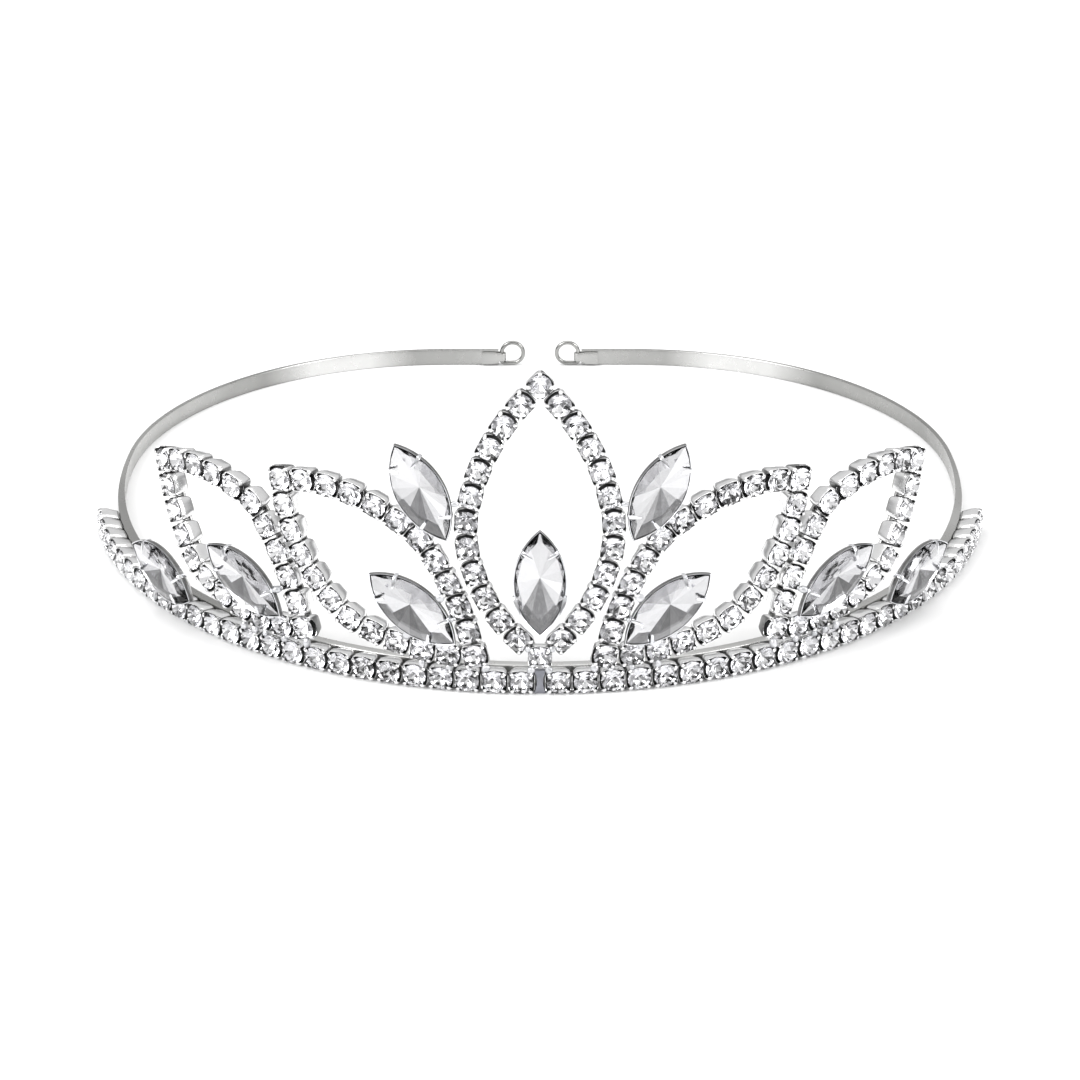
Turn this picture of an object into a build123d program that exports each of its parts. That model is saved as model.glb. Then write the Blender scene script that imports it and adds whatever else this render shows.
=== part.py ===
from build123d import *
import os
from math import atan2, cos, degrees, radians, sin

# Bridal tiara: rows of claw-set rhinestone cups soldered to a spring headband.
# X runs along the wearer's ears, the decorated front faces -Y, +Z is up.
# "left" and "right" are as seen by somebody facing the tiara.

# ---- Driving dimensions, mm ----
PITCH = 4.0                 # spacing of the round stones
CUP_SIZE = 3.64             # side of a square cup
CUP_CORNER = 0.62           # its corner chamfer
CUP_TAPER = 3.5             # degrees each side draws in towards the back
CUP_DEPTH = 2.8             # stone girdle down to the cup's back
CUP_RIM = 0.1               # cup rim above the girdle
CUP_FLOOR = 0.3
CUP_BORE = 1.1              # hollow under the stone
STONE_RADIUS = 1.7
STONE_TABLE = 0.95
STONE_CROWN = 0.65
STONE_PAVILION = 1.3
STONE_GIRDLE = 0.06         # half of the straight edge
STONE_CULET = 0.12
STONE_SIDES = 8
STONE_CLEARANCE = 0.03
CLAW_WIDTH = 0.5
# outline of a claw's side: (out from the cup's axis, above the girdle)
CUP_CLAW = [(1.76, 0), (2.15, 0), (2.0, 0.6), (1.35, 0.6), (1.35, 0.46)]
LINK_DEPTH = 2.2            # link bars run this far below the girdle
LINK_START = 1.5            # from inside each cup's wall
LINK_WIDTH = 1.2
LINK_THICKNESS = 0.6
PLATE_THICKNESS = 0.8       # the waisted plate in the middle of the row
PLATE_WAIST = 0.45
PLATE_SINK = 0.35

WALL_RADIUS = 70.4          # plan radius of the stones' girdle surface
ROW_HEIGHT = 1.88           # base row's centre line above the table
ROW_START = 2.7             # first stone, measured from the centre line
ROW_COUNT = 25              # stones in each half of the base row

NAVETTE_LENGTH = 15.5
NAVETTE_WIDTH = 7.4
NAVETTE_CROWN = 1.2
NAVETTE_PAVILION = 2.0
NAVETTE_GIRDLE = 0.1        # half of the straight edge
NAVETTE_TABLE = 0.42        # the table, as a part of the whole outline
NAVETTE_KEEL = (0.4, 0.1)   # the keel's length and width, as parts of the stone's
SETTING_WALL = 0.2
SETTING_TIP = 2.25          # the points reach out this many walls further than the stone
SETTING_DEPTH = 2.4
SETTING_RIM = 0.12
SETTING_LIP = 0.35          # the straight part of the wall
SETTING_SEAT = 0.12
SETTING_BACK = (0.6, 0.36)  # length and width of the back, as parts of the stone's
SETTING_HOLLOW = (0.46, 0.17)
SETTING_CLEARANCE = 0.02
# outline of a claw's side: (out from the setting's edge, above the girdle)
NAVETTE_CLAW = [(-0.17, -0.1), (0, -0.1), (0, 0.5), (-1.6, 1.25), (-1.6, 1.0), (-0.17, 0.2)]

BAND_FRONT_RADIUS = 66.0    # inner face behind the stones
BAND_SIDE_RADIUS = 86.0
BAND_REAR_RADIUS = 50.8
BAND_FRONT_TURN = 73.0      # degrees of heading turned on each arc
BAND_SIDE_TURN = 22.5
BAND_FRONT_THICKNESS = 1.5
BAND_REAR_THICKNESS = 0.7
BAND_FRONT_HEIGHT = 3.3
BAND_REAR_HEIGHT = 2.75
BAND_EDGE_RADIUS = 0.15

LOOP_WIRE_RADIUS = 0.35
LOOP_RADIUS = 1.87
LOOP_CORNER_RADIUS = 0.45
LOOP_TOP_BEND_RADIUS = 1.72
LOOP_AXIS_X = 6.6           # the loops' pivots, either side of the centre line
LOOP_BASE = 0.05            # lowest point of the wire above the table
LOOP_RUNNING_CLEARANCE = 0.05
EYE_RADIUS = 0.78           # outside of the band's rolled end
EYE_BOTTOM = 0.9
EYE_TOP = 2.3
EYE_NECK = 0.9              # joins the eye to the folded end
FLAP_LENGTH = 2.9
FLAP_THICKNESS = 0.5
FLAP_BOTTOM = 0.25
FLAP_TOP = 2.5

SOLDER_BITE = 0.22          # how far a solder bead reaches past each surface
SOLDER_REACH = 0.9          # widest gap that gets a bead
SOLDER_WIDTH = 0.8
SOLDER_LEAST = 0.05         # cubic mm
PAD_SIDE = 1.8              # pads between the row's cups and the band
PAD_BITE = 0.3

WALL_AXIS_Y = WALL_RADIUS   # the design frame has its origin under the front stones
BAND_FRONT_Y = WALL_AXIS_Y - BAND_FRONT_RADIUS


# ---- Places on the decorated front ----
def wall_point(along, height, lift=0.0):
    """A point on the curved front: along the curve, up from the row, out of the surface."""
    turn = along / WALL_RADIUS
    radius = WALL_RADIUS + lift
    return Vector(-radius * sin(turn), WALL_AXIS_Y - radius * cos(turn), ROW_HEIGHT + height)


def wall_place(along, height, roll=0.0, lift=0.0, lean=0.0):
    """Local frame on the front: z out of the surface, x turned by roll from the curve's run."""
    turn = along / WALL_RADIUS
    tangent = Vector(-cos(turn), sin(turn), 0)
    outward = Vector(-sin(turn), -cos(turn), 0)
    upward = Vector(0, 0, 1)
    x_dir = tangent * cos(radians(roll)) + upward * sin(radians(roll))
    frame = Plane(origin=wall_point(along, height, lift), x_dir=x_dir, z_dir=outward)
    return frame.location * Location((0, 0, 0), (0, lean, 0))


def bulged_path(points_and_bulges):
    """A wire through (along, height) points; each leg is an arc with the given bulge."""
    edges = []
    start = points_and_bulges[0]
    for along, height, bulge in points_and_bulges[1:]:
        edges.append(SagittaArc((start[0], start[1]), (along, height), bulge))
        start = (along, height)
    return Wire(edges)


def stones_on_path(path, steps):
    """Evenly spaced (along, height, roll) spots; each roll follows the line between neighbours."""
    points = [
        path.position_at(path.length * index / steps, position_mode=PositionMode.LENGTH)
        for index in range(steps + 1)
    ]
    spots = []
    for index, point in enumerate(points):
        before = points[max(index - 1, 0)]
        after = points[min(index + 1, steps)]
        roll = degrees(atan2(after.Y - before.Y, after.X - before.X))
        spots.append((point.X, point.Y, roll))
    return spots


# ---- Round stones and their cups ----
def round_stone():
    """Cut chaton: flat table, tapered crown, short girdle and pointed pavilion."""
    outline = RegularPolygon(radius=STONE_RADIUS, side_count=STONE_SIDES).face()
    table = RegularPolygon(radius=STONE_TABLE, side_count=STONE_SIDES).face()
    culet = RegularPolygon(radius=STONE_CULET, side_count=STONE_SIDES).face()
    crown = loft([Pos(0, 0, STONE_GIRDLE) * outline, Pos(0, 0, STONE_CROWN) * table], ruled=True)
    girdle = extrude(Pos(0, 0, -STONE_GIRDLE) * outline, amount=2 * STONE_GIRDLE)
    pavilion = loft(
        [Pos(0, 0, -STONE_PAVILION) * culet, Pos(0, 0, -STONE_GIRDLE) * outline], ruled=True
    )
    return (crown + girdle + pavilion).solid()


def claw(profile_points, width):
    """One prong from its side outline, drawn in the XZ plane."""
    with BuildSketch(Plane.XZ) as profile:
        with BuildLine():
            Polyline(*profile_points, close=True)
        make_face()
    return extrude(profile.sketch, amount=width / 2, both=True)


def round_cup():
    """Square claw cup, hollow under the edge the stone's pavilion rests on."""
    outline = chamfer(Rectangle(CUP_SIZE, CUP_SIZE).vertices(), CUP_CORNER)
    body = extrude(outline, amount=CUP_RIM)
    body += extrude(outline, amount=-CUP_DEPTH, taper=CUP_TAPER)
    mouth = STONE_RADIUS + STONE_CLEARANCE
    seat_slope = (STONE_PAVILION - STONE_GIRDLE) / (STONE_RADIUS - STONE_CULET)
    seat = -STONE_GIRDLE - (STONE_RADIUS - CUP_BORE) * seat_slope - STONE_CLEARANCE
    bore_depth = CUP_DEPTH - CUP_FLOOR
    body -= Pos(0, 0, seat) * extrude(Circle(mouth), amount=CUP_DEPTH)
    body -= Pos(0, 0, -bore_depth) * extrude(Circle(CUP_BORE), amount=bore_depth)
    prong = claw(CUP_CLAW, CLAW_WIDTH)
    for quarter in range(4):
        body += Rot(0, 0, 45 + 90 * quarter) * prong
    return body.solid()


def half_link(spot, neighbour):
    """Half of the link bar between two cups, ending on the plane midway between them."""
    here = wall_point(spot[0], spot[1], -LINK_DEPTH)
    there = wall_point(neighbour[0], neighbour[1], -LINK_DEPTH)
    run = there - here
    length = run.length / 2 - LINK_START
    centre = here + run.normalized() * (LINK_START + length / 2)
    outward = here - Vector(0, WALL_AXIS_Y, here.Z)
    bar_frame = Plane(origin=centre, x_dir=run, z_dir=run.cross(outward).cross(run) * -1)
    return bar_frame.location * Box(length, LINK_WIDTH, LINK_THICKNESS)


def set_stones(spots, before=None, after=None):
    """Linked cups and their stones, one of each at every spot of a chain."""
    cups = []
    stones = []
    for index, spot in enumerate(spots):
        place = wall_place(*spot)
        neighbours = []
        if index > 0:
            neighbours.append(spots[index - 1])
        elif before:
            neighbours.append(before)
        if index < len(spots) - 1:
            neighbours.append(spots[index + 1])
        elif after:
            neighbours.append(after)
        cup = place * ROUND_CUP
        for neighbour in neighbours:
            cup += half_link(spot, neighbour)
        cups.append(cup.solid())
        stones.append((place * ROUND_STONE).solid())
    return cups, stones


# ---- Navettes ----
def boat(length, width):
    """Pointed oval face made of two arcs."""
    half = length / 2
    with BuildSketch() as outline:
        with BuildLine():
            ThreePointArc((-half, 0), (0, width / 2), (half, 0))
            ThreePointArc((half, 0), (0, -width / 2), (-half, 0))
        make_face()
    return outline.sketch.face()


def navette_stone():
    """Boat-shaped stone: sloping crown to a small table, keel below."""
    outline = boat(NAVETTE_LENGTH, NAVETTE_WIDTH)
    table = boat(NAVETTE_TABLE * NAVETTE_LENGTH, NAVETTE_TABLE * NAVETTE_WIDTH)
    keel = boat(NAVETTE_KEEL[0] * NAVETTE_LENGTH, NAVETTE_KEEL[1] * NAVETTE_WIDTH)
    crown = loft([Pos(0, 0, NAVETTE_GIRDLE) * outline, Pos(0, 0, NAVETTE_CROWN) * table], ruled=True)
    girdle = extrude(Pos(0, 0, -NAVETTE_GIRDLE) * outline, amount=2 * NAVETTE_GIRDLE)
    pavilion = loft(
        [Pos(0, 0, -NAVETTE_PAVILION) * keel, Pos(0, 0, -NAVETTE_GIRDLE) * outline], ruled=True
    )
    return (crown + girdle + pavilion).solid()


def navette_setting(claws):
    """Boat-shaped claw setting that follows the stone's pavilion; claws are (along, side)."""
    outer_length = NAVETTE_LENGTH + 2 * SETTING_TIP * SETTING_WALL
    outer_width = NAVETTE_WIDTH + 2 * SETTING_WALL
    inner = boat(NAVETTE_LENGTH + 4 * SETTING_CLEARANCE, NAVETTE_WIDTH + 2 * SETTING_CLEARANCE)
    outer = boat(outer_length, outer_width)
    back = boat(SETTING_BACK[0] * NAVETTE_LENGTH, SETTING_BACK[1] * NAVETTE_WIDTH)
    hollow = boat(SETTING_HOLLOW[0] * NAVETTE_LENGTH, SETTING_HOLLOW[1] * NAVETTE_WIDTH)
    hollow_depth = NAVETTE_PAVILION + 4 * SETTING_CLEARANCE
    body = loft([Pos(0, 0, -SETTING_DEPTH) * back, Pos(0, 0, -SETTING_LIP) * outer], ruled=True)
    body += extrude(Pos(0, 0, -SETTING_LIP) * outer, amount=SETTING_LIP + SETTING_RIM)
    body -= loft([Pos(0, 0, -hollow_depth) * hollow, Pos(0, 0, -SETTING_SEAT) * inner], ruled=True)
    body -= extrude(Pos(0, 0, -SETTING_SEAT) * inner, amount=1.0)
    arc_radius = (outer_length ** 2 / 4 + outer_width ** 2 / 4) / outer_width
    arc_drop = arc_radius - outer_width / 2
    for along, side in claws:
        edge = (arc_radius ** 2 - along ** 2) ** 0.5 - arc_drop
        normal = degrees(atan2(edge + arc_drop, along))
        arm = claw(NAVETTE_CLAW, CLAW_WIDTH)
        body += Pos(along, side * edge, 0) * Rot(0, 0, side * normal) * arm
    return body.solid()


# ---- Headband and end loops ----
def tangent_arcs(start, heading, arcs):
    """Clockwise tangent arcs, each (radius, degrees turned); gives edges, end and heading."""
    edges = []
    point = Vector(*start, 0)
    for radius, turn in arcs:
        middle = heading - turn / 2
        final = heading - turn
        centre = point + radius * Vector(sin(radians(heading)), -cos(radians(heading)), 0)
        halfway = centre - radius * Vector(sin(radians(middle)), -cos(radians(middle)), 0)
        end = centre - radius * Vector(sin(radians(final)), -cos(radians(final)), 0)
        edges.append(ThreePointArc(point, halfway, end))
        point = end
        heading = final
    return edges, point, heading


def headband():
    """Spring strip, thicker behind the stones, with each end rolled into an eye."""
    rear_turn = 180 - BAND_FRONT_TURN - BAND_SIDE_TURN
    inner, rear_inner, _ = tangent_arcs(
        (0, BAND_FRONT_Y),
        180,
        [
            (BAND_FRONT_RADIUS, BAND_FRONT_TURN),
            (BAND_SIDE_RADIUS, BAND_SIDE_TURN),
            (BAND_REAR_RADIUS, rear_turn),
        ],
    )
    front_outer, side_start, side_heading = tangent_arcs(
        (0, BAND_FRONT_Y - BAND_FRONT_THICKNESS),
        180,
        [(BAND_FRONT_RADIUS + BAND_FRONT_THICKNESS, BAND_FRONT_TURN)],
    )
    end_x = -LOOP_AXIS_X - EYE_RADIUS + 0.2
    rear_outer = rear_inner + Vector(0, BAND_REAR_THICKNESS, 0)
    back_arc, side_end, back_heading = tangent_arcs(
        (0, 0), 180 - BAND_FRONT_TURN - BAND_SIDE_TURN,
        [(BAND_REAR_RADIUS + BAND_REAR_THICKNESS, rear_turn)],
    )
    shift = rear_outer - side_end
    back_arc = [edge.moved(Location(shift)) for edge in back_arc]
    side_curve = Spline(
        [side_start, shift],
        tangents=[
            Vector(cos(radians(side_heading)), sin(radians(side_heading)), 0),
            Vector(cos(radians(rear_turn)), sin(radians(rear_turn)), 0),
        ],
    )
    ends = [
        Line(rear_inner, (end_x, rear_inner.Y)),
        Line((end_x, rear_inner.Y), (end_x, rear_outer.Y)),
        Line((end_x, rear_outer.Y), rear_outer),
        Line((0, BAND_FRONT_Y - BAND_FRONT_THICKNESS), (0, BAND_FRONT_Y)),
    ]
    outline = Face(Wire(inner + front_outer + [side_curve] + back_arc + ends))
    blank = extrude(outline, amount=BAND_FRONT_HEIGHT + 1)
    run = rear_inner.Y - BAND_FRONT_Y
    slope = (BAND_FRONT_HEIGHT - BAND_REAR_HEIGHT) / run
    lid = Plane(origin=(0, BAND_FRONT_Y, BAND_FRONT_HEIGHT), z_dir=(0, slope, 1))
    half = split(blank, bisect_by=lid, keep=Keep.BOTTOM)
    long_edges = half.edges().filter_by(lambda e: e.length > 8 and abs(e.tangent_at(0.5).Z) < 0.1)
    half = fillet(long_edges, BAND_EDGE_RADIUS)
    eye_y = rear_inner.Y
    eye_height = EYE_TOP - EYE_BOTTOM
    eye_z = (EYE_TOP + EYE_BOTTOM) / 2
    half += Pos(-LOOP_AXIS_X, eye_y, eye_z) * Cylinder(EYE_RADIUS, eye_height)
    flap_centre = end_x - FLAP_LENGTH / 2
    half += Pos(flap_centre, eye_y - FLAP_THICKNESS / 2, (FLAP_BOTTOM + FLAP_TOP) / 2) * Box(
        FLAP_LENGTH, FLAP_THICKNESS, FLAP_TOP - FLAP_BOTTOM
    )
    half += Pos(-LOOP_AXIS_X - EYE_NECK / 2, eye_y + 0.05, eye_z) * Box(EYE_NECK, 1.2, eye_height)
    bore = LOOP_WIRE_RADIUS + LOOP_RUNNING_CLEARANCE
    half -= Pos(-LOOP_AXIS_X, eye_y, 0) * Cylinder(bore, 10)
    return (half + mirror(half, about=Plane.YZ)).solid(), eye_y


def end_loop(eye_y):
    """D-shaped wire ring whose straight leg turns in the band's left-hand rolled eye."""
    low = LOOP_BASE + LOOP_WIRE_RADIUS
    centre_x = LOOP_RADIUS
    centre_z = low + LOOP_RADIUS
    top_turn = 30
    # end of the large arc, where the gentle top bend takes over
    top_x = centre_x - LOOP_RADIUS * cos(radians(top_turn))
    top_z = centre_z + LOOP_RADIUS * sin(radians(top_turn))
    leg_top = top_z - LOOP_TOP_BEND_RADIUS * sin(radians(top_turn))
    bend_middle_x = LOOP_TOP_BEND_RADIUS * (1 - cos(radians(top_turn / 2)))
    bend_middle_z = leg_top + LOOP_TOP_BEND_RADIUS * sin(radians(top_turn / 2))
    shrink = top_x - LOOP_TOP_BEND_RADIUS * (1 - cos(radians(top_turn)))
    leg_bottom = low + LOOP_CORNER_RADIUS
    corner = LOOP_CORNER_RADIUS * (1 - cos(radians(45)))
    side = Plane(origin=(-LOOP_AXIS_X, eye_y, 0), x_dir=(1, 0, 0), z_dir=(0, -1, 0))
    with BuildLine(side) as path:
        Line((0, leg_top), (0, leg_bottom))
        ThreePointArc((0, leg_bottom), (corner, low + corner), (LOOP_CORNER_RADIUS, low))
        Line((LOOP_CORNER_RADIUS, low), (centre_x - shrink, low))
        ThreePointArc(
            (centre_x - shrink, low),
            (centre_x - shrink + LOOP_RADIUS, centre_z),
            (top_x - shrink, top_z),
        )
        ThreePointArc((top_x - shrink, top_z), (bend_middle_x, bend_middle_z), (0, leg_top))
    start = path.wire() @ 0
    tangent = path.wire() % 0
    section = Plane(origin=start, z_dir=tangent) * Circle(LOOP_WIRE_RADIUS)
    return sweep(section, path=path.wire()).solid()


# ---- Solder ----
def solder_beads(pairs, metal):
    """One bead in the gap between the pieces of each pair, clear of all the other metal."""
    beads = []
    middles = []
    for first, second in pairs:
        gap, near, far = first.distance_to_with_closest_points(second)
        middle = (near + far) / 2
        crowded = any((middle - other).length < 2 * SOLDER_REACH for other in middles)
        if gap > SOLDER_REACH or crowded:
            continue
        run = second.center() - first.center()
        length = gap + 2 * SOLDER_BITE
        bead = Plane(origin=middle, z_dir=run).location * Box(SOLDER_WIDTH, SOLDER_WIDTH, length)
        for piece in metal:
            if piece.distance_to(middle) < length:
                bead -= piece
        largest = max(bead.solids(), key=lambda piece: piece.volume)
        if largest.volume > SOLDER_LEAST:
            beads.append(largest)
            middles.append(middle)
    return beads


def close_pairs(first_group, second_group, reach):
    """Pairs of pieces whose centres lie within reach of each other."""
    pairs = []
    for first in first_group:
        for second in second_group:
            if (first.center() - second.center()).length < reach:
                pairs.append((first, second))
    return pairs


ROUND_STONE = round_stone()
ROUND_CUP = round_cup()
NAVETTE_STONE = navette_stone()
SIDE_CLAWS = [(along, side) for along in (-5.0, 5.0) for side in (-1, 1)]
CENTRE_CLAWS = [(along, side) for along in (-2.6, 4.9) for side in (-1, 1)]

# ---- Base row ----
row_spots = [(ROW_START + PITCH * index, 0.0, 0.0) for index in range(ROW_COUNT)]
row_cups, row_stones = set_stones(row_spots)

# ---- Centre petal: apex, belly and foot ----
APEX_HEIGHT = 46.7
FOOT_HEIGHT = 4.2           # where the two edges of the leaf would meet
FOOT_DROP = 0.15            # the foot sits a little lower, clear of both
BELLY = (10.85, 23.5)
centre_path = bulged_path([(0, APEX_HEIGHT), (*BELLY, 2.45), (0, FOOT_HEIGHT, 2.45)])
centre_spots = stones_on_path(centre_path, 12)
apex_spot = (0, APEX_HEIGHT, 45)
foot_spot = (0, FOOT_HEIGHT - FOOT_DROP, 0)
side_spots = centre_spots[1:-1]
centre_cups, centre_stones = set_stones(side_spots, before=apex_spot)

# ---- Inner and outer side petals: (tip, shoulder, heel) and back to the tip ----
INNER_TIP = (40.3, 27.6)
INNER_HEEL = (9.6, 3.95)
OUTER_TIP = (65.7, 23.4)
OUTER_HEEL = (36.7, 4.4)
PETALS = {
    "inner": {
        "upper": [INNER_TIP, (17.4, 21.6, -3.0), (*INNER_HEEL, -1.15)],
        "lower": [INNER_HEEL, (29.0, 7.75, -1.25), (*INNER_TIP, -2.5)],
        "steps": (11, 11),
    },
    "outer": {
        "upper": [OUTER_TIP, (45.6, 22.4, -2.2), (*OUTER_HEEL, -1.1)],
        "lower": [OUTER_HEEL, (59.0, 9.5, -2.35), (*OUTER_TIP, -0.9)],
        "steps": (10, 10),
    },
}
petal_cups = {}
petal_stones = {}
for name, petal in PETALS.items():
    upper = stones_on_path(bulged_path(petal["upper"]), petal["steps"][0])
    lower = stones_on_path(bulged_path(petal["lower"]), petal["steps"][1])[1:-1]
    for edge, spots, ends in (("upper", upper, lower), ("lower", lower, upper)):
        cups, stones = set_stones(spots, before=ends[-1], after=ends[0])
        petal_cups[f"{name}_petal_{edge}"] = cups
        petal_stones[f"{name}_petal_{edge}"] = stones

# ---- Navettes: (along, height, angle of the long axis, lift off the wall) ----
NAVETTES = {
    "upper": (17.2, 29.7, 61.7, 0.9),
    "inner": (18.6, 11.15, 37.1, 1.0),
    "outer": (46.5, 10.2, 28.5, 1.3),
    "far": (64.7, 5.7, 14.4, 1.7),
}
side_setting = navette_setting(SIDE_CLAWS)
navette_settings = {
    name: (wall_place(*place) * side_setting).solid() for name, place in NAVETTES.items()
}
navette_stones = {
    name: (wall_place(*place) * NAVETTE_STONE).solid() for name, place in NAVETTES.items()
}
CENTRE_NAVETTE = wall_place(0, 16.3, 90, 0.9, lean=5)
centre_setting = (CENTRE_NAVETTE * navette_setting(CENTRE_CLAWS)).solid()
centre_navette = (CENTRE_NAVETTE * NAVETTE_STONE).solid()

# ---- Apex, foot and the plate that joins the two halves of the row ----
def single_setting(spot, neighbours):
    """One cup on the centre line with a link towards each neighbour."""
    cup = wall_place(*spot) * ROUND_CUP
    for neighbour in neighbours:
        cup += half_link(spot, neighbour)
    return cup.solid()


def mirrored_spot(spot):
    return (-spot[0], spot[1], -spot[2])


apex_cup = single_setting(apex_spot, [side_spots[0], mirrored_spot(side_spots[0])])
foot_cup = single_setting(foot_spot, [])
apex_stone = (wall_place(*apex_spot) * ROUND_STONE).solid()
foot_stone = (wall_place(*foot_spot) * ROUND_STONE).solid()


def link_plate():
    """Waisted plate between the two middle cups of the base row."""
    half_gap = ROW_START - CUP_SIZE / 2
    half_height = CUP_SIZE / 2
    with BuildSketch() as outline:
        with BuildLine():
            Line((-half_gap, half_height), (half_gap, half_height))
            ThreePointArc((half_gap, half_height), (PLATE_WAIST, -0.2), (half_gap, -half_height))
            Line((half_gap, -half_height), (-half_gap, -half_height))
            ThreePointArc((-half_gap, -half_height), (-PLATE_WAIST, -0.2), (-half_gap, half_height))
        make_face()
    plate = extrude(outline.sketch, amount=-PLATE_THICKNESS)
    return (wall_place(0, 0) * Pos(0, 0, -PLATE_SINK) * plate).solid()


centre_plate = link_plate()

# ---- Headband, loops and solder ----
band, eye_y = headband()
loop = end_loop(eye_y)


def row_solder():
    """Thin pads between the backs of the row's cups and the band."""
    pads = []
    pad_depth = WALL_RADIUS - CUP_DEPTH - BAND_FRONT_RADIUS - BAND_FRONT_THICKNESS + PAD_BITE
    for spot in row_spots:
        blank = Pos(0, 0, -CUP_DEPTH - pad_depth / 2) * Box(PAD_SIDE, PAD_SIDE, pad_depth)
        pad = wall_place(*spot) * blank - band
        pads.append(max(pad.solids(), key=lambda piece: piece.center().Y * -1))
    return pads


inner_cups = petal_cups["inner_petal_upper"] + petal_cups["inner_petal_lower"]
outer_cups = petal_cups["outer_petal_upper"] + petal_cups["outer_petal_lower"]
settings = list(navette_settings.values()) + [centre_setting]
petal_metal = centre_cups + inner_cups + outer_cups + [foot_cup]
joined = close_pairs(row_cups, petal_metal, reach=5.0)
joined += close_pairs(inner_cups, outer_cups, reach=4.6)
joined += close_pairs([foot_cup], centre_cups, reach=4.8)
joined += close_pairs(settings, row_cups + petal_metal, reach=9.5)
beads = solder_beads(joined, settings + row_cups + petal_metal + [centre_plate])

# ---- Nodes ----
nodes = {
    "headband": [band],
    "row_link_plate": [centre_plate],
    "apex_cup": [apex_cup],
    "apex_stone": [apex_stone],
    "foot_cup": [foot_cup],
    "foot_stone": [foot_stone],
    "navette_setting_centre": [centre_setting],
    "navette_stone_centre": [centre_navette],
}
paired = {
    "end_loop": [loop],
    "base_row_cups": row_cups,
    "base_row_stones": row_stones,
    "centre_petal_cups": centre_cups,
    "centre_petal_stones": centre_stones,
    "row_solder": row_solder(),
    "petal_solder": beads,
}
for name in petal_cups:
    paired[f"{name}_cups"] = petal_cups[name]
    paired[f"{name}_stones"] = petal_stones[name]
for name in NAVETTES:
    paired[f"navette_setting_{name}"] = [navette_settings[name]]
    paired[f"navette_stone_{name}"] = [navette_stones[name]]
for name, solids in paired.items():
    nodes[f"{name}_left"] = solids
    nodes[f"{name}_right"] = [mirror(piece, about=Plane.YZ) for piece in solids]

# The origin is the middle of the footprint, on the table.
everything = Compound([piece for solids in nodes.values() for piece in solids])
box = everything.bounding_box()
to_origin = Location((0, -(box.min.Y + box.max.Y) / 2, 0))

os.makedirs("parts", exist_ok=True)
for name, solids in nodes.items():
    placed = [piece.moved(to_origin) for piece in solids]
    shape = placed[0] if len(placed) == 1 else Compound(placed)
    export_step(shape, f"parts/{name}.step")
print("box", box.min, box.max, "nodes", len(nodes), "shift", to_origin.position.Y)
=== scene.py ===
"""Looks for the bridal tiara: fine meshes and materials standing where the CAD nodes are."""
import math

import bpy
import numpy as np
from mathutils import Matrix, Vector


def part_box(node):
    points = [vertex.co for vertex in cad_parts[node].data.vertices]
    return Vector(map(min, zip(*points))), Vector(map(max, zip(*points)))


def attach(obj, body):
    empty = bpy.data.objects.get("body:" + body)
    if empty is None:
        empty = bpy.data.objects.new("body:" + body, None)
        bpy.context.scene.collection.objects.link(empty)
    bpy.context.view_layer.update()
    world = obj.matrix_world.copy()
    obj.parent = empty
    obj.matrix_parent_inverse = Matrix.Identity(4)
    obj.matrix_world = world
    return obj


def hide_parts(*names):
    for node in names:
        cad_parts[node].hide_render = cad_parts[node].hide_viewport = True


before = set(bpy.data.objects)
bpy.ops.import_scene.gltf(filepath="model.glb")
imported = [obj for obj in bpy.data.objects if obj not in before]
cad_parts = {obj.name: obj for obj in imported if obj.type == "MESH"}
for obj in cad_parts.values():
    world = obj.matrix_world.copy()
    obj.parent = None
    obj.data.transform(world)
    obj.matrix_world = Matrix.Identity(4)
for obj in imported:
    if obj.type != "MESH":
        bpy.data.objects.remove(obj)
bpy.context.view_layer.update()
MM = 0.001
rng = np.random.default_rng(7)
FRAME_BODY = "tiara_frame"

# ---- Sizes in mm, as in the CAD. Heights of stones and cups are measured from the girdle. ----
STONE_CROWN = 0.65          # round stone: its table
NAVETTE_CROWN = 1.2         # boat-shaped stone: its table in the CAD
NAVETTE_ARC = 9.786         # radius of the two arcs of the boat outline
NAVETTE_DROP = 6.286        # how far the arcs' centres are from the long axis
CUP_BACK = -2.8             # back of a round stone's cup
CLAW_TIPS = 0.55            # a cup's points above this are its claws' tips
LINK_DEPTH = -2.2           # middle of the bars between cups
LINK_REACH = 4.6            # cups further apart than this aren't linked
WALL_RADIUS = 70.4          # the stones' girdles, round the front's axis
BAND_OUTER_RADIUS = 67.5    # outside of the strip's front
BAND_INNER_RADIUS = 66.0
WALL_AXIS_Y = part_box("headband")[0].y / MM + BAND_OUTER_RADIUS
INNER_FRONT_Y = WALL_AXIS_Y - BAND_INNER_RADIUS
EYE_X = 6.6                 # the loops' pivots, either side of the middle
EYE_RADIUS = 0.78           # outside of the strip's rolled ends

# Claws on the boat outline: (place along the stone, side)
SIDE_CLAWS = [(along, side) for along in (-5.0, 5.0) for side in (-1, 1)]
CENTRE_CLAWS = [(along, side) for along in (-2.0, 4.9) for side in (-1, 1)]

# Material slots of the cups and settings (the second one dark, for painted shade), and of the
# stones
SILVER, PAINTED_SHADE, BACK = 0, 1, 2
CROWN, FOIL = 0, 1


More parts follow.
